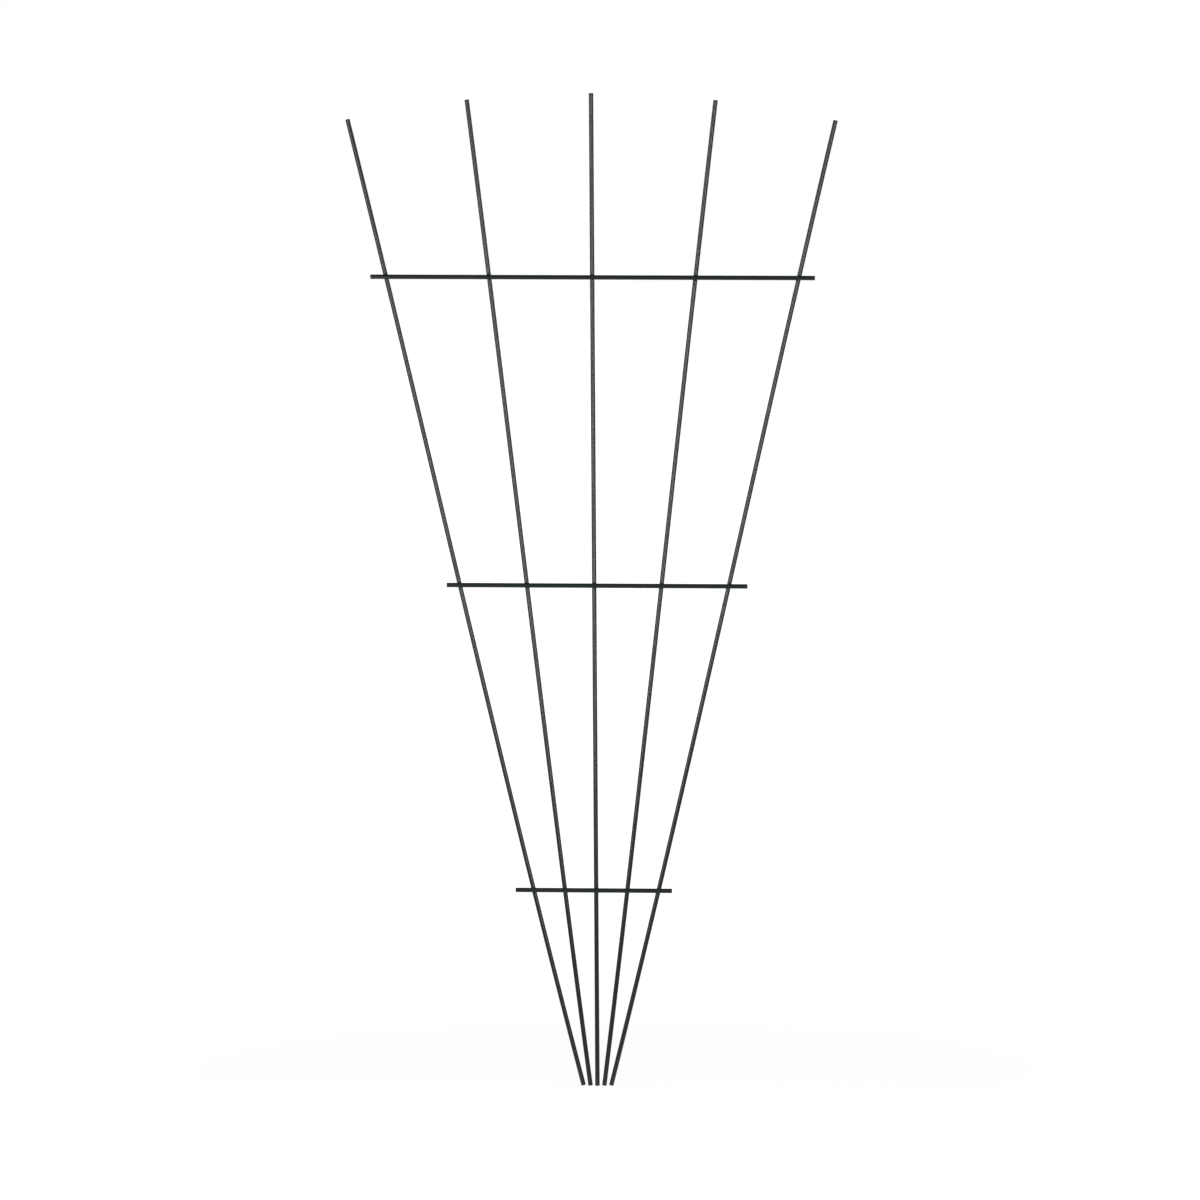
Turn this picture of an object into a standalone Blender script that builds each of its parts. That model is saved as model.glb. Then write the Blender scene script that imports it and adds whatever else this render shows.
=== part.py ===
"""Wire plant trainer: five long coated wires that open out in a fan from nearly touching feet,
held by three straight cross wires that are welded over their fronts.

Sizes are in metres and +Z is up. The fan lies flat in the XZ plane and its front faces -Y.
The origin is the middle of the centre upright's cut foot.
"""

import math

import bmesh
import bpy
import numpy
from mathutils import Matrix, Vector

# The wires
UPRIGHT_LENGTH = 1.500
UPRIGHT_DIAMETER = 0.0070
CROSS_WIRE_DIAMETER = 0.0070
END_ROUNDING = 0.0008

# Heights of the cross wires above the feet
BOTTOM_HEIGHT = 0.297
MIDDLE_HEIGHT = 0.758
TOP_HEIGHT = 1.223

# How far each cross wire was laid to the right of the fan's middle when it was welded on
BOTTOM_SHIFT = -0.0028
MIDDLE_SHIFT = 0.0050
TOP_SHIFT = 0.0010

# Spacing of neighbouring uprights, centre line to centre line, at the feet and at each cross wire
FOOT_PITCH = 0.0104
BOTTOM_PITCH = 0.0473
MIDDLE_PITCH = 0.1018
TOP_PITCH = 0.1560

# How far a cross wire in the middle of the fan runs on past the centre line of an outer upright
OVERHANG = 0.024

# The welds: how deep the two wires of a crossing are pressed into each other, the gap between
# a weld and its wires, and the size of the weld itself
SET_DOWN = 0.0006
WELD_CLEARANCE = 0.0003
WELD_LEAST_THICKNESS = 0.0003
WELD_WEB = 0.0015
WELD_LIP = 0.0006
WELD_HALF_DEPTH = 0.0022

# Fineness of the round surfaces
WIRE_SIDES = 20
UPRIGHT_STEPS = 14
ROUNDING_STEPS = 2
WELD_SIDES = 24
WELD_STEPS = 6
SMOOTH_BELOW = math.radians(40.0)

# Finish: dark green plastic coat
COAT_COLOUR = (0.022, 0.030, 0.027, 1.0)
COAT_ROUGHNESS = 0.45
WELD_ROUGHNESS = 0.55

# Values worked out from the sizes above
UPRIGHT_RADIUS = UPRIGHT_DIAMETER / 2
CROSS_WIRE_RADIUS = CROSS_WIRE_DIAMETER / 2
AXIS_DISTANCE = UPRIGHT_RADIUS + CROSS_WIRE_RADIUS - SET_DOWN
SEAT_GROWTH = 2 * WELD_CLEARANCE + WELD_LEAST_THICKNESS
WELD_CENTRE_Y = UPRIGHT_RADIUS - SET_DOWN / 2

# Uprights by place, each with its rank counted from the centre, and cross wires by level, each
# with its height and its shift
UPRIGHT_PLACES = ("outer_left", "inner_left", "centre", "inner_right", "outer_right")
OUTER_RANK = len(UPRIGHT_PLACES) // 2
UPRIGHTS = {place: index - OUTER_RANK for index, place in enumerate(UPRIGHT_PLACES)}
CROSS_WIRES = {
    "bottom": (BOTTOM_HEIGHT, BOTTOM_SHIFT),
    "middle": (MIDDLE_HEIGHT, MIDDLE_SHIFT),
    "top": (TOP_HEIGHT, TOP_SHIFT),
}


def clear_scene():
    """Removes whatever the scene holds."""
    for item in list(bpy.data.objects):
        bpy.data.objects.remove(item, do_unlink=True)


def pitch_curve():
    """The uprights' spacing as one smooth curve of height, through the feet and all cross wires."""
    heights = (0.0, BOTTOM_HEIGHT, MIDDLE_HEIGHT, TOP_HEIGHT)
    pitches = (FOOT_PITCH, BOTTOM_PITCH, MIDDLE_PITCH, TOP_PITCH)
    return numpy.poly1d(numpy.polyfit(heights, pitches, len(heights) - 1))


PITCH = pitch_curve()
SPREAD_RATE = PITCH.deriv()


def upright_point(rank, height):
    """Where an upright's centre line is at a height."""
    return Vector((rank * PITCH(height), 0.0, height))


def upright_direction(rank, height):
    """Which way an upright's centre line runs at a height."""
    return Vector((rank * SPREAD_RATE(height), 0.0, 1.0)).normalized()


def foot_height(rank):
    """Height of the middle of a foot whose lowest edge is level with the centre upright's foot."""
    lean = math.atan(abs(rank) * SPREAD_RATE(0.0))
    flat_radius = UPRIGHT_RADIUS - END_ROUNDING
    return flat_radius * math.sin(lean) + END_ROUNDING * (1.0 - math.cos(lean))


def upright_path(rank):
    """Points along an upright from its foot, at equal steps of its cut length."""
    step = UPRIGHT_LENGTH / UPRIGHT_STEPS
    height = foot_height(rank)
    path = [upright_point(rank, height)]
    for _ in range(UPRIGHT_STEPS):
        height += step * upright_direction(rank, height + step / 2).z
        path.append(upright_point(rank, height))
    return path


def cross_wire_path(height, shift):
    """The two ends of a straight cross wire in front of the uprights."""
    reach = OUTER_RANK * PITCH(height) + OVERHANG
    return [Vector((shift + side * reach, -AXIS_DISTANCE, height)) for side in (-1, 1)]


def square_to(point, direction):
    """Matrix that lays a ring at a point, square to a direction."""
    turn = Vector((0.0, 0.0, 1.0)).rotation_difference(direction)
    return Matrix.Translation(point) @ turn.to_matrix().to_4x4()


def ringed_body(places, radii, sides):
    """Closed round body through a row of rings. Returns the bmesh and the edges of its two rims."""
    body = bmesh.new()
    rings = []
    for place, radius in zip(places, radii):
        ring = bmesh.ops.create_circle(body, segments=sides, radius=radius, matrix=place)
        edges = {edge for vertex in ring["verts"] for edge in vertex.link_edges}
        rings.append(list(edges))
    for near, far in zip(rings, rings[1:]):
        bmesh.ops.bridge_loops(body, edges=near + far)
    for rim in (rings[0], rings[-1]):
        bmesh.ops.contextual_create(body, geom=rim)
    bmesh.ops.recalc_face_normals(body, faces=body.faces)
    return body, rings[0] + rings[-1]


def finish_mesh(name, body):
    """Turns a bmesh into a mesh that is smooth on its round sides and sharp at its edges."""
    mesh = bpy.data.meshes.new(name)
    body.to_mesh(mesh)
    body.free()
    mesh.shade_smooth()
    mesh.set_sharp_from_angle(angle=SMOOTH_BELOW)
    return mesh


def bar_mesh(name, path, radius):
    """A round bar along a path, with the edges of its two cut ends rounded."""
    points = [path[0], *path, path[-1]]
    directions = [(after - before).normalized() for before, after in zip(points, points[2:])]
    places = [square_to(point, direction) for point, direction in zip(path, directions)]
    body, rims = ringed_body(places, [radius] * len(places), WIRE_SIDES)
    bmesh.ops.bevel(
        body,
        geom=rims,
        offset=END_ROUNDING,
        offset_type="OFFSET",
        segments=ROUNDING_STEPS,
        profile=0.5,
        affect="EDGES",
    )
    return finish_mesh(name, body)


def add_piece(name, mesh, location, holder):
    """Puts a mesh in the scene as a named piece under the part's holder."""
    piece = bpy.data.objects.new(name, mesh)
    bpy.context.scene.collection.objects.link(piece)
    piece.location = location
    piece.parent = holder
    return piece


def add_holder():
    """The empty at the origin that carries every piece."""
    holder = bpy.data.objects.new("trainer", None)
    bpy.context.scene.collection.objects.link(holder)
    return holder


def add_upright(name, rank, growth, holder):
    """One upright, placed by its foot and grown all round by an amount."""
    path = upright_path(rank)
    foot = path[0]
    mesh = bar_mesh(name, [point - foot for point in path], UPRIGHT_RADIUS + growth)
    return add_piece(name, mesh, foot, holder)


def add_cross_wire(name, height, shift, growth, holder):
    """One cross wire, placed by its middle and grown all round by an amount."""
    path = cross_wire_path(height, shift)
    middle = (path[0] + path[-1]) / 2
    mesh = bar_mesh(name, [point - middle for point in path], CROSS_WIRE_RADIUS + growth)
    return add_piece(name, mesh, middle, holder)


def add_bars(ending, growth, holder):
    """All the wires grown by one amount: the uprights by place and the cross wires by level."""
    uprights = {
        place: add_upright(f"upright_{place}{ending}", rank, growth, holder)
        for place, rank in UPRIGHTS.items()
    }
    cross_wires = {
        level: add_cross_wire(f"cross_wire_{level}{ending}", height, shift, growth, holder)
        for level, (height, shift) in CROSS_WIRES.items()
    }
    return uprights, cross_wires


def hide_cutters(bars):
    """Keeps a set of bars as cutting shapes only."""
    for kind in bars:
        for cutter in kind.values():
            cutter.hide_render = True
            cutter.display_type = "WIRE"


def cut(piece, cutter):
    """Cuts a piece by another shape."""
    boolean = piece.modifiers.new(f"cut by {cutter.name}", "BOOLEAN")
    boolean.operation = "DIFFERENCE"
    boolean.solver = "EXACT"
    boolean.object = cutter


def press_together(bars, seat_bars):
    """Cuts the seat of each crossing wire into the wires that it crosses."""
    uprights, cross_wires = bars
    seat_uprights, seat_cross_wires = seat_bars
    for upright in uprights.values():
        for seat in seat_cross_wires.values():
            cut(upright, seat)
    for cross_wire in cross_wires.values():
        for seat in seat_uprights.values():
            cut(cross_wire, seat)


def weld_mesh(name):
    """Body of a weld before its wires are cut out: a round bead, widest halfway."""
    wire_radius = max(UPRIGHT_RADIUS, CROSS_WIRE_RADIUS)
    end_radius = wire_radius + WELD_CLEARANCE + WELD_LIP
    web_radius = wire_radius + WELD_WEB
    backwards = Vector((0.0, 1.0, 0.0))
    places = []
    radii = []
    for step in range(WELD_STEPS + 1):
        share = 2.0 * step / WELD_STEPS - 1.0
        places.append(square_to(backwards * share * WELD_HALF_DEPTH, backwards))
        radii.append(end_radius + (web_radius - end_radius) * math.sqrt(1.0 - share**2))
    body, _ = ringed_body(places, radii, WELD_SIDES)
    return finish_mesh(name, body)


def add_weld(name, rank, height, clear_upright, clear_cross_wire, holder):
    """The weld at one crossing: metal between the two seats and a fillet round both wires."""
    centre = upright_point(rank, height)
    centre.y = -WELD_CENTRE_Y
    weld = add_piece(name, weld_mesh(name), centre, holder)
    cut(weld, clear_upright)
    cut(weld, clear_cross_wire)
    return weld


def coat_material(name, roughness):
    """A dark green plastic coat."""
    material = bpy.data.materials.new(name)
    material.use_nodes = True
    shader = material.node_tree.nodes["Principled BSDF"]
    shader.inputs["Base Color"].default_value = COAT_COLOUR
    shader.inputs["Roughness"].default_value = roughness
    shader.inputs["Metallic"].default_value = 0.0
    return material


def paint(pieces, material):
    """Gives pieces of one kind their finish."""
    for piece in pieces:
        piece.data.materials.append(material)


def build():
    """Makes the whole part."""
    clear_scene()
    holder = add_holder()

    wires = add_bars("", 0.0, holder)
    seats = add_bars("_seat", SEAT_GROWTH, holder)
    press_together(wires, seats)
    hide_cutters(seats)

    clear_wires = add_bars("_clearance", WELD_CLEARANCE, holder)
    clear_seats = add_bars("_seat_clearance", SEAT_GROWTH - WELD_CLEARANCE, holder)
    press_together(clear_wires, clear_seats)
    hide_cutters(clear_wires)
    hide_cutters(clear_seats)

    uprights, cross_wires = wires
    clear_uprights, clear_cross_wires = clear_wires
    welds = [
        add_weld(
            f"weld_{level}_{place}",
            rank,
            height,
            clear_uprights[place],
            clear_cross_wires[level],
            holder,
        )
        for level, (height, _) in CROSS_WIRES.items()
        for place, rank in UPRIGHTS.items()
    ]

    paint(uprights.values(), coat_material("upright_coat", COAT_ROUGHNESS))
    paint(cross_wires.values(), coat_material("cross_wire_coat", COAT_ROUGHNESS))
    paint(welds, coat_material("weld_coat", WELD_ROUGHNESS))


build()
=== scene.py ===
"""Looks of a wire plant trainer: five coated wires in a fan, held by three cross wires.

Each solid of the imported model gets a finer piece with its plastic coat, in the solid's own place.
The fan stands upright with the middles of its uprights at Y = 0, and its front faces -Y. Sizes are
in metres.
"""

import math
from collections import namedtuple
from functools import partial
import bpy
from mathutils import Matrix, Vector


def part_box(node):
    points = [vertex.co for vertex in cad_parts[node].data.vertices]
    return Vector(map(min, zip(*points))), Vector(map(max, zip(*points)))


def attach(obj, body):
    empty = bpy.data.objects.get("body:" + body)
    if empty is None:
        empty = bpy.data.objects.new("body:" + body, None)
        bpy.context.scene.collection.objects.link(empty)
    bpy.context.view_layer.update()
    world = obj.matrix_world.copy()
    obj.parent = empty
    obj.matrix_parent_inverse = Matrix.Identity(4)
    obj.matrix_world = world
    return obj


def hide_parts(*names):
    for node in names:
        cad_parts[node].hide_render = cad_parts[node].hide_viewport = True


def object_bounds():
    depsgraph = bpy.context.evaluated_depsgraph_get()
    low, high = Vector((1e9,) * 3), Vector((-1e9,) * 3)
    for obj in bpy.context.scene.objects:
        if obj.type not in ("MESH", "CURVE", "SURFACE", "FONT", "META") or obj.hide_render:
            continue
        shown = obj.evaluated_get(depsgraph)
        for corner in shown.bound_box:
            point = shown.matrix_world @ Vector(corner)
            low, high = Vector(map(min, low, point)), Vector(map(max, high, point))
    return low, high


bl_info = {
    "name": "Wire Plant Trainer",
    "version": (1, 0, 0),
    "blender": (4, 5, 0),
    "location": "View3D > Sidebar > Trainer",
    "description": "Coats the wires and welds of a fan-shaped plant trainer and sets up its studio",
    "category": "Object",
}

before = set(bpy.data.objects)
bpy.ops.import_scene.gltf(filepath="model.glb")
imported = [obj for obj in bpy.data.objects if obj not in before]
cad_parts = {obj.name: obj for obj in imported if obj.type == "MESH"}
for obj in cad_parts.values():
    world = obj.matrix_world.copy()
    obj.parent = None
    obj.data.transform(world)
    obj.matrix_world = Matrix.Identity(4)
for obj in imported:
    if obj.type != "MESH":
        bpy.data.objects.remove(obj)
CAD_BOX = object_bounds()

import bmesh
import bpy
import numpy
from bpy.props import FloatProperty, FloatVectorProperty, PointerProperty
from bpy.types import Operator, Panel, PropertyGroup
from mathutils import Matrix, Vector, noise

BODY = "root"
QUARTER_TURN = math.radians(90.0)

# Names of the wires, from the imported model
UPRIGHT_PLACES = ("outer_left", "inner_left", "centre", "inner_right", "outer_right")
LEVELS = ("bottom", "middle", "top")

# An upright's line: the cuts through its solid, the degree of the curve through their middles, and
# the passes that find where the curve meets a cut end
LINE_SAMPLES = 12
LINE_DEGREE = 3
END_PASSES = 4

# Fineness of the meshes
BAR_SIDES = 40
BAR_STEP = 0.003
ROUNDING_STEPS = 6
CROWN_STEPS = 3
FILLET_SIDES = 64
FILLET_STEPS = 10
MERGE_DISTANCE = 0.0000001

# Lengths of the coat's slow and quick swells, and the share of the quick one
SLOW_SWELL = 0.040
QUICK_SWELL = 0.014
QUICK_SHARE = 0.35

# The weld ring: how far its rims sink into the wires, and how deep in both its inner edge lies
RIM_SINK = 0.00002
INNER_EDGE_DEPTH = 0.0002

# The coat's hollow round a weld: the share by which pooling widens it under a cross wire and narrows
# it above, and how far and over what length it wavers
POOLING = 0.15
FILLET_WAVE = 0.10
FILLET_WAVE_LENGTH = 0.004

# The coat's patterns, each as its features in a metre and its layers of finer detail
PATCHES = (22.0, 3.0)
PEEL = (750.0, 2.0)
GRAIN = (4200.0, 2.0)
DRAWN_LINES = (1600.0, 2.0)
SCRATCHES = (620.0, 4.0)

# Share of their features that lines and scratches keep along a drawn wire
DRAWN_OUT = 0.02

# Values of the patterns between which patches, specks and scuffs grow to their fullest, and how
# fully specks and scuffs then cover the coat
PATCH_EDGE = (0.35, 0.65)
SPECK_EDGE = (0.55, 0.80)
SPECK_COVER = 0.35
SCUFF_EDGE = (0.66, 0.76)
SCUFF_COVER = 0.7

# How much patches, peel and scuffs change the coat's roughness, and how much duller the welds are
PATCH_ROUGHNESS = 0.05
PEEL_ROUGHNESS = 0.05
SCUFF_ROUGHNESS = 0.15
WELD_DULLNESS = 0.04

# The coat's relief: its height, how strongly it shows, and the shares of lines and grain beside peel
RELIEF_HEIGHT = 0.00003
RELIEF_STRENGTH = 0.25
LINE_SHARE = 0.35
GRAIN_SHARE = 0.12

# The plastic's index of refraction
PLASTIC_IOR = 1.5

# The picture's width in pixels, the point in its middle and the scale there
PICTURE_WIDTH = 1200
AIM = Vector((0.0086, 0.0, 0.7358))
PIXELS_PER_METRE = 665.1

# The width of the camera's sensor in millimetres, and how far the camera sees
SENSOR_WIDTH = 36.0
FARTHEST = 100.0

# The round floor, and how far it lies under the feet
FLOOR_RADIUS = 14.0
FLOOR_SIDES = 96
FLOOR_GAP = 0.0002
FLOOR_ROUGHNESS = 0.9

# The floor's own glow, its share near the feet, where the rest takes the shadow, and the distances
# from them between which that share grows to one
FLOOR_GLOW = 1.15
NEAR_SHARE = 0.80
GLOW_FADE = (0.6, 2.0)

# What a mirror sees: the direction of the dim room from the fan, the cosines to it between which the
# white backdrop turns into the room, and the places along Y between which the white floor does
ROOM_SIDE = (0.0, -0.71, 0.71)
ROOM_EDGE = (-0.2, 0.4)
FLOOR_FRONT = (0.1, -0.3)
WHITE = (1.0, 1.0, 1.0)

# Width and height of a soft box, and the place of the right one
BOX_SIZE = (0.4, 1.25)
BOX_PLACE = Vector((0.97, -1.61, 0.89))


def widths(node):
    """Lengths of a solid's box along X, Y and Z."""
    low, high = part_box(node)
    return high - low


class CoatSettings(PropertyGroup):
    """Sizes and finish of the coated wires."""

    upright_diameter: FloatProperty(
        name="Upright diameter",
        description="Outside diameter of the five coated uprights",
        default=widths("upright_centre").y,
        min=0.001,
        unit="LENGTH",
        subtype="DISTANCE",
    )
    cross_wire_diameter: FloatProperty(
        name="Cross wire diameter",
        description="Outside diameter of the three coated cross wires",
        default=widths("cross_wire_top").z,
        min=0.001,
        unit="LENGTH",
        subtype="DISTANCE",
    )
    end_rounding: FloatProperty(
        name="End rounding",
        description="Radius to which the coat rounds the edge of a cut end",
        default=0.0008,
        min=0.0001,
        unit="LENGTH",
        subtype="DISTANCE",
    )
    end_crown: FloatProperty(
        name="End crown",
        description="How far the coat stands proud in the middle of a cut end",
        default=0.00012,
        min=0.0,
        unit="LENGTH",
        subtype="DISTANCE",
    )
    fillet: FloatProperty(
        name="Weld fillet",
        description="Mean radius of the coat's hollow round each weld",
        default=0.0015,
        min=0.0002,
        unit="LENGTH",
        subtype="DISTANCE",
    )
    unevenness: FloatProperty(
        name="Unevenness",
        description="Difference between the coat's thickest and thinnest places",
        default=0.00006,
        min=0.0,
        unit="LENGTH",
        subtype="DISTANCE",
    )
    colour: FloatVectorProperty(
        name="Coat colour",
        description="Main colour of the plastic coat",
        default=(0.0110, 0.0185, 0.0155),
        min=0.0,
        max=1.0,
        subtype="COLOR",
    )
    shade: FloatVectorProperty(
        name="Shade colour",
        description="Colour of the coat's darker patches",
        default=(0.0085, 0.0140, 0.0120),
        min=0.0,
        max=1.0,
        subtype="COLOR",
    )
    scuff_colour: FloatVectorProperty(
        name="Scuff colour",
        description="Colour of the fine scuffs and specks on the coat",
        default=(0.0450, 0.0600, 0.0550),
        min=0.0,
        max=1.0,
        subtype="COLOR",
    )
    roughness: FloatProperty(
        name="Roughness",
        description="Roughness of the wires' coat before its peel and scuffs add to it",
        default=0.22,
        min=0.0,
        max=1.0,
        subtype="FACTOR",
    )
    specular: FloatProperty(
        name="Specular level",
        description="How strongly the coat mirrors its surroundings",
        default=0.50,
        min=0.0,
        max=1.0,
        subtype="FACTOR",
    )


class StudioSettings(PropertyGroup):
    """The floor, the camera and the lamps."""

    floor_colour: FloatVectorProperty(
        name="Floor colour",
        description="Colour of the plain floor",
        default=(0.80, 0.80, 0.80),
        min=0.0,
        max=1.0,
        subtype="COLOR",
    )
    camera_distance: FloatProperty(
        name="Camera distance",
        description="How far the camera stands from the middle of its picture",
        default=30.0,
        min=1.0,
        unit="LENGTH",
        subtype="DISTANCE",
    )
    camera_turn: FloatProperty(
        name="Camera turn",
        description="How far the camera has gone round to the right from the fan's front",
        default=math.radians(6.53),
        unit="ROTATION",
        subtype="ANGLE",
    )
    camera_rise: FloatProperty(
        name="Camera rise",
        description="How steeply the camera looks down at the fan",
        default=math.radians(5.70),
        unit="ROTATION",
        subtype="ANGLE",
    )
    camera_roll: FloatProperty(
        name="Camera roll",
        description="How far the camera is turned about its line of sight",
        default=math.radians(-0.371),
        unit="ROTATION",
        subtype="ANGLE",
    )
    side_light: FloatProperty(
        name="Side light",
        description="Radiance of the two tall soft boxes",
        default=11.3,
        min=0.0,
    )
    room_light: FloatProperty(
        name="Room light",
        description="Strength of the even light from all round",
        default=0.20,
        min=0.0,
    )
    room_glow: FloatProperty(
        name="Room glow",
        description="How bright a mirror shows the room in front of the fan, beside the white backdrop",
        default=0.15,
        min=0.0,
        max=1.0,
        subtype="FACTOR",
    )


def coat_settings():
    """The coat's settings in the open scene."""
    return bpy.context.scene.trainer_coat


def opaque(colour):
    """A colour with an alpha of one, as a node takes it."""
    return (*colour, 1.0)


def coat_dip(point):
    """How far the coat lies below its fullest thickness at a point."""
    slow = noise.noise(point / SLOW_SWELL)
    quick = noise.noise(point / QUICK_SWELL)
    level = slow * (1.0 - QUICK_SHARE) + quick * QUICK_SHARE
    return coat_settings().unevenness * min(max(0.5 + level, 0.0), 1.0)


def finish_piece(body, material, node):
    """Makes a smooth piece from a bmesh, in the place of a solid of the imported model."""
    name = f"{node}_coated"
    bmesh.ops.recalc_face_normals(body, faces=body.faces)
    mesh = bpy.data.meshes.new(name)
    body.to_mesh(mesh)
    body.free()
    mesh.shade_smooth()
    mesh.materials.append(material)
    piece = bpy.data.objects.new(name, mesh)
    bpy.context.scene.collection.objects.link(piece)
    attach(piece, BODY)
    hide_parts(node)


# The wires' lines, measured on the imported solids


def middle_at(node, height):
    """Sideways place of an upright's middle at a height."""
    solid = bmesh.new()
    solid.from_mesh(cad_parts[node].data)
    cut = bmesh.ops.bisect_plane(
        solid,
        geom=solid.verts[:] + solid.edges[:] + solid.faces[:],
        plane_co=(0.0, 0.0, height),
        plane_no=(0.0, 0.0, 1.0),
    )
    sides = [item.co.x for item in cut["geom_cut"] if isinstance(item, bmesh.types.BMVert)]
    solid.free()
    return (min(sides) + max(sides)) / 2


def upright_line(node):
    """An upright's line: its sideways place as a smooth curve of height."""
    low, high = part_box(node)
    step = (high.z - low.z) / LINE_SAMPLES
    heights = [low.z + step * (index + 0.5) for index in range(LINE_SAMPLES)]
    middles = [middle_at(node, height) for height in heights]
    return numpy.poly1d(numpy.polyfit(heights, middles, LINE_DEGREE))


def line_point(line, height):
    """Point of an upright's line at a height."""
    return Vector((line(height), 0.0, height))


def line_direction(line, height):
    """Upward direction of an upright's line at a height."""
    return Vector((line.deriv()(height), 0.0, 1.0)).normalized()


def end_height(node, line, way):
    """Height at which an upright's line meets its cut end, the tip's for 1 and the foot's for -1.

    Each pass moves the height by how far the solid still reaches past it along the line.
    """
    corners = [vertex.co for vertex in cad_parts[node].data.vertices]
    height = max(corner.z * way for corner in corners) * way
    for _ in range(END_PASSES):
        direction = line_direction(line, height) * way
        reach = max(corner.dot(direction) for corner in corners)
        height += (reach - line_point(line, height).dot(direction)) * direction.z
    return height


def cross_wire_middle(level):
    """Middle of a cross wire."""
    low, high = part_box(f"cross_wire_{level}")
    return (low + high) / 2


# The wires


def end_caps(body):
    """The flat round faces at the two ends of a bar."""
    return [face for face in body.faces if len(face.verts) == BAR_SIDES]


def straight_bar(length, radius):
    """A straight round bar along Z from zero, with its ends rounded and slightly crowned."""
    settings = coat_settings()
    body = bmesh.new()
    bmesh.ops.create_cone(
        body,
        cap_ends=True,
        segments=BAR_SIDES,
        radius1=radius,
        radius2=radius,
        depth=length - 2 * settings.end_crown,
        matrix=Matrix.Translation((0.0, 0.0, length / 2)),
    )
    rims = [edge for cap in end_caps(body) for edge in cap.edges]
    long_edges = [edge for edge in body.edges if edge not in rims]
    bmesh.ops.subdivide_edges(body, edges=long_edges, cuts=round(length / BAR_STEP) - 1)
    bmesh.ops.bevel(
        body,
        geom=rims,
        offset=settings.end_rounding,
        offset_type="OFFSET",
        segments=ROUNDING_STEPS,
        profile=0.5,
        affect="EDGES",
        material=-1,
    )
    crown_ends(body, radius - settings.end_rounding, settings.end_crown)
    return body


def crown_ends(body, flat_radius, crown):
    """Raises the two flat ends of a bar to shallow domes, by rings of equal width and a peak."""
    ring_width = flat_radius / (CROWN_STEPS + 1)
    outer = 1.0
    for step in range(CROWN_STEPS, 0, -1):
        inner = step / (CROWN_STEPS + 1)
        rise = crown * (outer**2 - inner**2)
        bmesh.ops.inset_individual(body, faces=end_caps(body), thickness=ring_width, depth=rise)
        outer = inner
    bmesh.ops.poke(body, faces=end_caps(body), offset=crown * outer**2)


def lay_along(body, start, place_at):
    """Lays a straight bar along a wire and gives its coat its unevenness.

    place_at gives the matrix of the wire's cross section at a place along it, and the bar begins
    at the place start.
    """
    for vertex in body.verts:
        place = place_at(start + vertex.co.z)
        across = Vector((vertex.co.x, vertex.co.y, 0.0))
        dip = coat_dip(place @ across)
        if across.length > 0.0:
            across -= across.normalized() * dip
        vertex.co = place @ across


def upright_place(line, height):
    """Matrix of a cross section of an upright at a height."""
    direction = line_direction(line, height)
    back = Vector((0.0, 1.0, 0.0))
    across = back.cross(direction)
    turn = Matrix((across, back, direction)).transposed()
    return Matrix.Translation(line_point(line, height)) @ turn.to_4x4()


def cross_wire_place(middle, along):
    """Matrix of a cross section of a cross wire, at a place along X."""
    turn = Matrix.Rotation(QUARTER_TURN, 4, "Y")
    return Matrix.Translation((along, middle.y, middle.z)) @ turn


# The welds

# Where an upright passes behind a cross wire: the point on its line, its lean and radius there, and
# the depth and radius of the cross wire
Crossing = namedtuple("Crossing", "point lean upright_radius cross_y cross_radius")


def crossing_of(line, level):
    """The crossing of an upright's line and a cross wire."""
    settings = coat_settings()
    middle = cross_wire_middle(level)
    return Crossing(
        point=line_point(line, middle.z),
        lean=math.atan(line.deriv()(middle.z)),
        upright_radius=settings.upright_diameter / 2,
        cross_y=middle.y,
        cross_radius=settings.cross_wire_diameter / 2,
    )


def ball_at(crossing, angle, radius):
    """A ball that touches both wires of a crossing, at an angle round it.

    Its depth swings twice a turn: it is furthest back beside the upright, level with the cross wire,
    and furthest forward above and below the cross wire, straight in front of the upright. Its
    distances beside the upright and above the cross wire follow from that depth.

    Returns the ball's centre and the directions from it to the upright and to the cross wire.
    """
    upright_reach = crossing.upright_radius + radius
    cross_reach = crossing.cross_radius + radius
    back = crossing.cross_y + cross_reach
    front = -upright_reach
    swing = (back - front) / 2
    depth = (back + front) / 2 + swing * math.cos(2 * angle)
    beside = math.cos(angle) * math.sqrt(2 * swing * (upright_reach - depth))
    above = math.sin(angle) * math.sqrt(2 * swing * (cross_reach + depth - crossing.cross_y))
    sideways = (beside + above * math.sin(crossing.lean)) / math.cos(crossing.lean)
    centre = crossing.point + Vector((sideways, depth, above))
    across = Vector((math.cos(crossing.lean), 0.0, -math.sin(crossing.lean)))
    to_upright = -(across * beside + Vector((0.0, depth, 0.0))) / upright_reach
    to_cross = -Vector((0.0, depth - crossing.cross_y, above)) / cross_reach
    return centre, to_upright, to_cross


def fillet_radius(crossing, angle):
    """Radius of the hollow at an angle round a crossing. The coat has pooled under the cross wire."""
    settings = coat_settings()
    pool = 1.0 - POOLING * math.sin(angle)
    turned = Vector((math.cos(angle), 0.0, math.sin(angle))) * settings.upright_diameter
    wave = noise.noise((crossing.point + turned) / FILLET_WAVE_LENGTH)
    return settings.fillet * (pool + FILLET_WAVE * wave)


def fillet_point(crossing, angle, share):
    """Point of the hollow at an angle round a crossing and a share of the way between its wires.

    The hollow is as uneven as the wires' coat, and its rims, at 0 and 1, sink into it.
    """
    radius = fillet_radius(crossing, angle)
    centre, to_upright, to_cross = ball_at(crossing, angle, radius)
    inwards = to_upright.slerp(to_cross, share)
    point = centre + inwards * radius
    sink = RIM_SINK * (2 * share - 1) ** 4
    return point + inwards * (coat_dip(point) + sink)


def inner_point(crossing, angle):
    """Point of the weld ring's inner edge, inside both wires."""
    centre, _, _ = ball_at(crossing, angle, -INNER_EDGE_DEPTH)
    return centre


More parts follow.
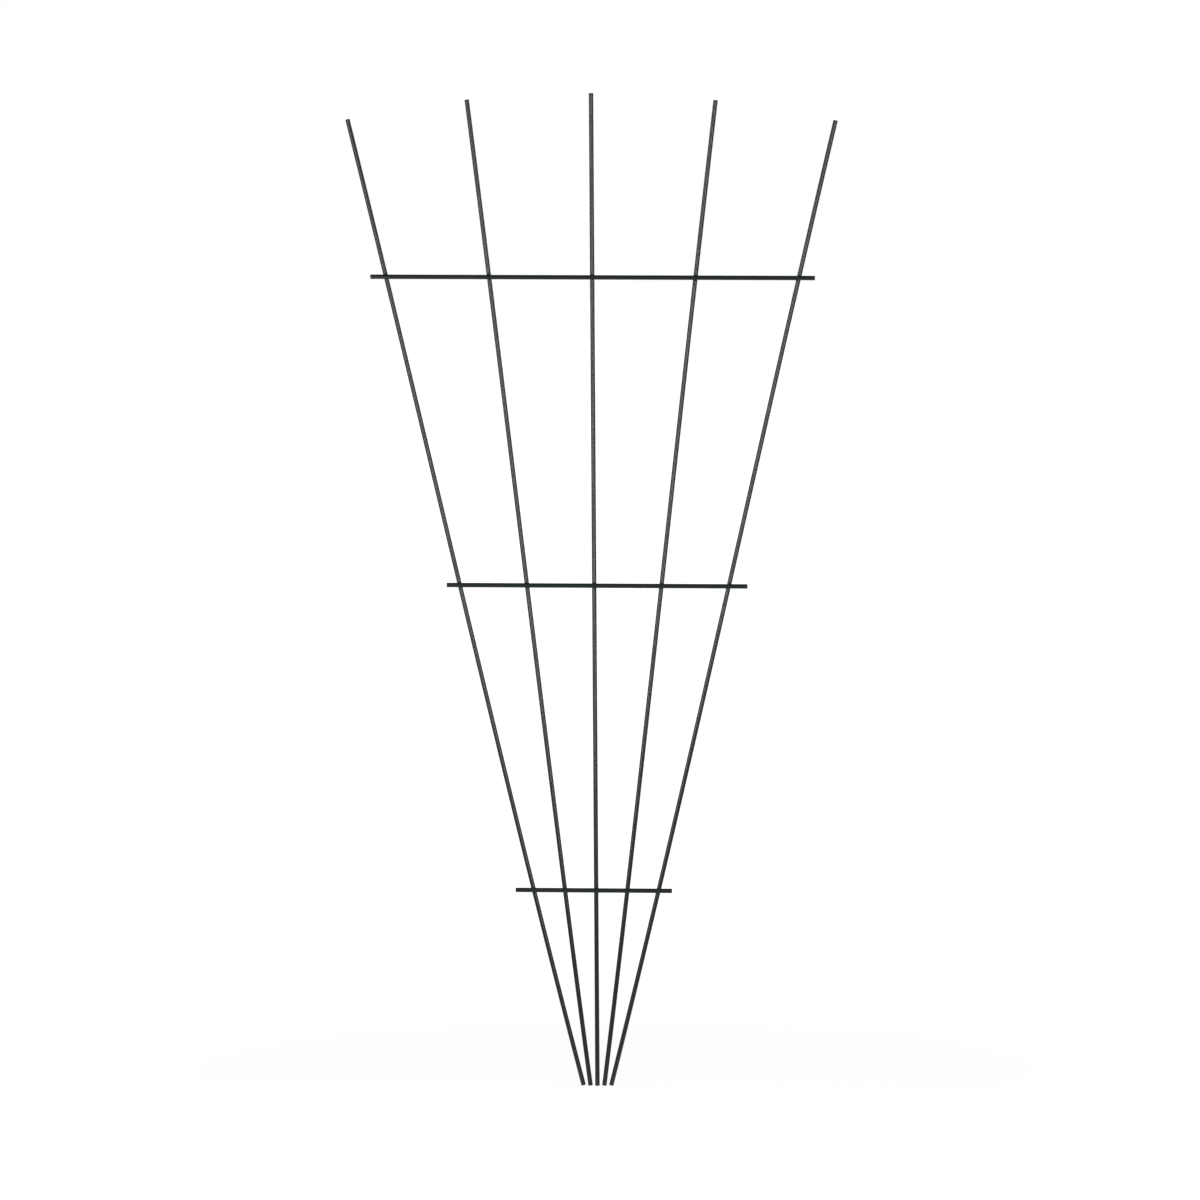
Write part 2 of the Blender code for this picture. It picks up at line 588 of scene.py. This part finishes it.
def weld_ring(crossing):
    """The ring of metal and coat between the two wires of a crossing, hollow on its outside.

    A grid is rolled up into the ring. Its columns go round the crossing, and its rows go over the
    hollow, to the inner edge and back to the first row.
    """
    body = bmesh.new()
    rows = FILLET_STEPS + 2
    bmesh.ops.create_grid(body, x_segments=FILLET_SIDES, y_segments=rows, size=0.5)
    for vertex in body.verts:
        angle = 2 * math.pi * round((vertex.co.x + 0.5) * FILLET_SIDES) / FILLET_SIDES
        row = round((vertex.co.y + 0.5) * rows) % rows
        if row <= FILLET_STEPS:
            vertex.co = fillet_point(crossing, angle, row / FILLET_STEPS)
        else:
            vertex.co = inner_point(crossing, angle)
    bmesh.ops.remove_doubles(body, verts=body.verts, dist=MERGE_DISTANCE)
    return body


# The nodes of a material


def link(tree, value, socket):
    """Gives a node's input a value, which is a number, a vector, a colour or another node's output."""
    if isinstance(value, bpy.types.NodeSocket):
        tree.links.new(value, socket)
    else:
        socket.default_value = value


def noise_node(tree, vector, scale, detail):
    """A noise texture read at a vector."""
    node = tree.nodes.new("ShaderNodeTexNoise")
    link(tree, vector, node.inputs["Vector"])
    link(tree, scale, node.inputs["Scale"])
    link(tree, detail, node.inputs["Detail"])
    return node.outputs["Fac"]


def stretched(tree, vector, scale):
    """A vector with each of its axes scaled."""
    node = tree.nodes.new("ShaderNodeMapping")
    link(tree, vector, node.inputs["Vector"])
    link(tree, scale, node.inputs["Scale"])
    return node.outputs["Vector"]


def ranged(tree, value, low, high, new_low, new_high):
    """A value moved from one range to another."""
    node = tree.nodes.new("ShaderNodeMapRange")
    link(tree, value, node.inputs["Value"])
    link(tree, low, node.inputs["From Min"])
    link(tree, high, node.inputs["From Max"])
    link(tree, new_low, node.inputs["To Min"])
    link(tree, new_high, node.inputs["To Max"])
    return node.outputs["Result"]


def mixed(tree, kind, factor, first, second):
    """One colour mixed into another by a factor, or one value for the kind FLOAT."""
    node = tree.nodes.new("ShaderNodeMix")
    node.data_type = kind
    link(tree, factor, node.inputs["Factor"])
    link(tree, first, node.inputs["A"])
    link(tree, second, node.inputs["B"])
    return node.outputs["Result"]


def calculated(tree, operation, *values, kind="ShaderNodeMath"):
    """The number that a Math or Vector Math node makes of some values."""
    node = tree.nodes.new(kind)
    node.operation = operation
    for value, socket in zip(values, node.inputs):
        link(tree, value, socket)
    return node.outputs["Value"]


def summed(tree, first, second, share):
    """The first value plus a share of the second."""
    return calculated(tree, "MULTIPLY_ADD", second, share, first)


# The coat


def coat_material(name, stretch, roughness):
    """Dark green plastic coat with fine peel, drawn lines and a few faint scuffs.

    stretch gives the share of their features that lines and scratches keep along X, Y and Z.
    """
    settings = coat_settings()
    material = bpy.data.materials.new(name)
    material.use_nodes = True
    tree = material.node_tree
    shader = tree.nodes["Principled BSDF"]
    place = tree.nodes.new("ShaderNodeTexCoord").outputs["Object"]
    drawn = stretched(tree, place, stretch)

    patches = noise_node(tree, place, *PATCHES)
    peel = noise_node(tree, place, *PEEL)
    grain = noise_node(tree, place, *GRAIN)
    lines = noise_node(tree, drawn, *DRAWN_LINES)
    scratches = noise_node(tree, drawn, *SCRATCHES)

    shades = ranged(tree, patches, *PATCH_EDGE, 0.0, 1.0)
    specks = ranged(tree, grain, *SPECK_EDGE, 0.0, SPECK_COVER)
    scuffs = ranged(tree, scratches, *SCUFF_EDGE, 0.0, SCUFF_COVER)
    mottled = mixed(tree, "RGBA", shades, opaque(settings.colour), opaque(settings.shade))
    speckled = mixed(tree, "RGBA", specks, mottled, opaque(settings.scuff_colour))
    scuffed = mixed(tree, "RGBA", scuffs, speckled, opaque(settings.scuff_colour))
    link(tree, scuffed, shader.inputs["Base Color"])

    smoothest = roughness - PATCH_ROUGHNESS
    dullest = roughness + PATCH_ROUGHNESS
    patched = ranged(tree, patches, *PATCH_EDGE, smoothest, dullest)
    peeled = summed(tree, patched, peel, PEEL_ROUGHNESS)
    link(tree, summed(tree, peeled, scuffs, SCUFF_ROUGHNESS), shader.inputs["Roughness"])

    bump = tree.nodes.new("ShaderNodeBump")
    relief = summed(tree, summed(tree, peel, lines, LINE_SHARE), grain, GRAIN_SHARE)
    link(tree, relief, bump.inputs["Height"])
    link(tree, RELIEF_STRENGTH, bump.inputs["Strength"])
    link(tree, RELIEF_HEIGHT, bump.inputs["Distance"])
    link(tree, bump.outputs["Normal"], shader.inputs["Normal"])

    link(tree, PLASTIC_IOR, shader.inputs["IOR"])
    link(tree, settings.specular, shader.inputs["Specular IOR Level"])
    return material


# Operators for the pieces


class TRAINER_OT_uprights(Operator):
    """Coat the five long wires of the fan"""

    bl_idname = "trainer.uprights"
    bl_label = "Coat the uprights"

    def execute(self, context):
        settings = context.scene.trainer_coat
        material = coat_material("upright_coat", (1.0, 1.0, DRAWN_OUT), settings.roughness)
        for place in UPRIGHT_PLACES:
            node = f"upright_{place}"
            line = upright_line(node)
            foot = end_height(node, line, -1)
            tip = end_height(node, line, 1)
            body = straight_bar(tip - foot, settings.upright_diameter / 2)
            lay_along(body, foot, partial(upright_place, line))
            finish_piece(body, material, node)
        return {"FINISHED"}


class TRAINER_OT_cross_wires(Operator):
    """Coat the three straight wires across the fan"""

    bl_idname = "trainer.cross_wires"
    bl_label = "Coat the cross wires"

    def execute(self, context):
        settings = context.scene.trainer_coat
        material = coat_material("cross_wire_coat", (DRAWN_OUT, 1.0, 1.0), settings.roughness)
        for level in LEVELS:
            node = f"cross_wire_{level}"
            middle = cross_wire_middle(level)
            length = widths(node).x
            body = straight_bar(length, settings.cross_wire_diameter / 2)
            lay_along(body, middle.x - length / 2, partial(cross_wire_place, middle))
            finish_piece(body, material, node)
        return {"FINISHED"}


class TRAINER_OT_welds(Operator):
    """Coat the weld at each crossing of the wires"""

    bl_idname = "trainer.welds"
    bl_label = "Coat the welds"

    def execute(self, context):
        roughness = context.scene.trainer_coat.roughness + WELD_DULLNESS
        material = coat_material("weld_coat", (1.0, 1.0, 1.0), roughness)
        for place in UPRIGHT_PLACES:
            line = upright_line(f"upright_{place}")
            for level in LEVELS:
                body = weld_ring(crossing_of(line, level))
                finish_piece(body, material, f"weld_{level}_{place}")
        return {"FINISHED"}


# The studio


def add_camera(settings):
    """The camera in front of the fan."""
    camera = bpy.data.cameras.new("camera")
    camera.sensor_width = SENSOR_WIDTH
    camera.lens = SENSOR_WIDTH * PIXELS_PER_METRE * settings.camera_distance / PICTURE_WIDTH
    camera.clip_end = FARTHEST
    view = bpy.data.objects.new("camera", camera)
    bpy.context.scene.collection.objects.link(view)
    turn = Matrix.Rotation(settings.camera_turn, 4, "Z")
    tilt = Matrix.Rotation(QUARTER_TURN - settings.camera_rise, 4, "X")
    back = Matrix.Translation((0.0, 0.0, settings.camera_distance))
    roll = Matrix.Rotation(settings.camera_roll, 4, "Z")
    view.matrix_world = Matrix.Translation(AIM) @ turn @ tilt @ back @ roll
    bpy.context.scene.camera = view


def seen_directly(tree):
    """1 for rays from the camera, a mirror or a glass, and 0 for the light that falls on things."""
    rays = tree.nodes.new("ShaderNodeLightPath")
    value = rays.outputs["Is Camera Ray"]
    for kind in ("Is Glossy Ray", "Is Transmission Ray"):
        value = calculated(tree, "MAXIMUM", value, rays.outputs[kind])
    return value


def in_mirrors(tree, value):
    """A value that mirrors and glasses see, where the camera sees 1."""
    rays = tree.nodes.new("ShaderNodeLightPath")
    return mixed(tree, "FLOAT", rays.outputs["Is Camera Ray"], value, 1.0)


def add_world(settings):
    """Even light from all round, a white backdrop, and a dimmer room in front of the fan and above."""
    world = bpy.data.worlds.new("studio")
    world.use_nodes = True
    tree = world.node_tree
    background = tree.nodes["Background"]
    link(tree, opaque(WHITE), background.inputs["Color"])
    direction = tree.nodes.new("ShaderNodeTexCoord").outputs["Generated"]
    towards_room = calculated(tree, "DOT_PRODUCT", direction, ROOM_SIDE, kind="ShaderNodeVectorMath")
    surround = in_mirrors(tree, ranged(tree, towards_room, *ROOM_EDGE, 1.0, settings.room_glow))
    strength = mixed(tree, "FLOAT", seen_directly(tree), settings.room_light, surround)
    link(tree, strength, background.inputs["Strength"])
    bpy.context.scene.world = world


def floor_material(settings):
    """Plain pale floor that fades to white with distance and keeps the shadow of what stands on it.

    In a mirror its front is as dim as the room.
    """
    material = bpy.data.materials.new("floor")
    material.use_nodes = True
    tree = material.node_tree
    surface = tree.nodes["Principled BSDF"]
    link(tree, opaque(settings.floor_colour), surface.inputs["Base Color"])
    link(tree, FLOOR_ROUGHNESS, surface.inputs["Roughness"])
    link(tree, 0.0, surface.inputs["Specular IOR Level"])

    place = tree.nodes.new("ShaderNodeTexCoord").outputs["Object"]
    parts = tree.nodes.new("ShaderNodeSeparateXYZ")
    link(tree, place, parts.inputs["Vector"])
    front = ranged(tree, parts.outputs["Y"], *FLOOR_FRONT, 1.0, settings.room_glow)
    strength = calculated(tree, "MULTIPLY", FLOOR_GLOW, in_mirrors(tree, front))
    glow = tree.nodes.new("ShaderNodeEmission")
    link(tree, strength, glow.inputs["Strength"])

    distance = calculated(tree, "LENGTH", place, kind="ShaderNodeVectorMath")
    share = ranged(tree, distance, *GLOW_FADE, NEAR_SHARE, 1.0)
    mix = tree.nodes.new("ShaderNodeMixShader")
    link(tree, calculated(tree, "MULTIPLY", share, seen_directly(tree)), mix.inputs["Fac"])
    link(tree, surface.outputs["BSDF"], mix.inputs[1])
    link(tree, glow.outputs["Emission"], mix.inputs[2])
    link(tree, mix.outputs["Shader"], tree.nodes["Material Output"].inputs["Surface"])
    return material


def add_floor(settings):
    """The floor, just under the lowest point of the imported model."""
    height = CAD_BOX[0][2] - FLOOR_GAP
    body = bmesh.new()
    bmesh.ops.create_circle(
        body,
        cap_ends=True,
        segments=FLOOR_SIDES,
        radius=FLOOR_RADIUS,
        matrix=Matrix.Translation((0.0, 0.0, height)),
    )
    mesh = bpy.data.meshes.new("floor")
    body.to_mesh(mesh)
    body.free()
    mesh.materials.append(floor_material(settings))
    floor = bpy.data.objects.new("floor", mesh)
    bpy.context.scene.collection.objects.link(floor)


def add_soft_box(name, side, settings):
    """A tall soft box in front of the fan, to one side and turned towards it.

    Its power is its radiance times pi times its area.
    """
    width, height = BOX_SIZE
    light = bpy.data.lights.new(name, "AREA")
    light.shape = "RECTANGLE"
    light.size = width
    light.size_y = height
    light.energy = settings.side_light * math.pi * width * height
    box = bpy.data.objects.new(name, light)
    bpy.context.scene.collection.objects.link(box)
    place = Vector((BOX_PLACE.x * side, BOX_PLACE.y, BOX_PLACE.z))
    aim = Vector((0.0, 0.0, BOX_PLACE.z)) - place
    box.matrix_world = Matrix.Translation(place) @ aim.to_track_quat("-Z", "Y").to_matrix().to_4x4()
    box.visible_camera = False


class TRAINER_OT_studio(Operator):
    """Set up the camera, the floor and the lamps"""

    bl_idname = "trainer.studio"
    bl_label = "Set up the studio"

    def execute(self, context):
        settings = context.scene.trainer_studio
        add_camera(settings)
        add_world(settings)
        add_floor(settings)
        add_soft_box("soft_box_left", -1, settings)
        add_soft_box("soft_box_right", 1, settings)
        context.scene.view_settings.view_transform = "Standard"
        return {"FINISHED"}


# The add-on


PIECE_OPERATORS = (TRAINER_OT_uprights, TRAINER_OT_cross_wires, TRAINER_OT_welds)


class TRAINER_PT_panel(Panel):
    """Sidebar panel with the trainer's settings and steps"""

    bl_idname = "TRAINER_PT_panel"
    bl_label = "Wire Plant Trainer"
    bl_space_type = "VIEW_3D"
    bl_region_type = "UI"
    bl_category = "Trainer"

    def draw(self, context):
        layout = self.layout
        for settings, operators in (
            (context.scene.trainer_coat, PIECE_OPERATORS),
            (context.scene.trainer_studio, (TRAINER_OT_studio,)),
        ):
            column = layout.column(align=True)
            for name in settings.__annotations__:
                column.prop(settings, name)
            for operator in operators:
                layout.operator(operator.bl_idname)


CLASSES = (CoatSettings, StudioSettings, *PIECE_OPERATORS, TRAINER_OT_studio, TRAINER_PT_panel)


def register():
    """Makes the settings, the operators and the panel known to Blender."""
    for item in CLASSES:
        bpy.utils.register_class(item)
    bpy.types.Scene.trainer_coat = PointerProperty(type=CoatSettings)
    bpy.types.Scene.trainer_studio = PointerProperty(type=StudioSettings)


def unregister():
    """Takes the settings, the operators and the panel out again."""
    del bpy.types.Scene.trainer_studio
    del bpy.types.Scene.trainer_coat
    for item in reversed(CLASSES):
        bpy.utils.unregister_class(item)


def main():
    """Sets up the studio, coats the wires and welds, and keeps the sizes."""
    register()
    bpy.ops.trainer.studio()
    bpy.ops.trainer.uprights()
    bpy.ops.trainer.cross_wires()
    bpy.ops.trainer.welds()


if __name__ == "__main__":
    main()
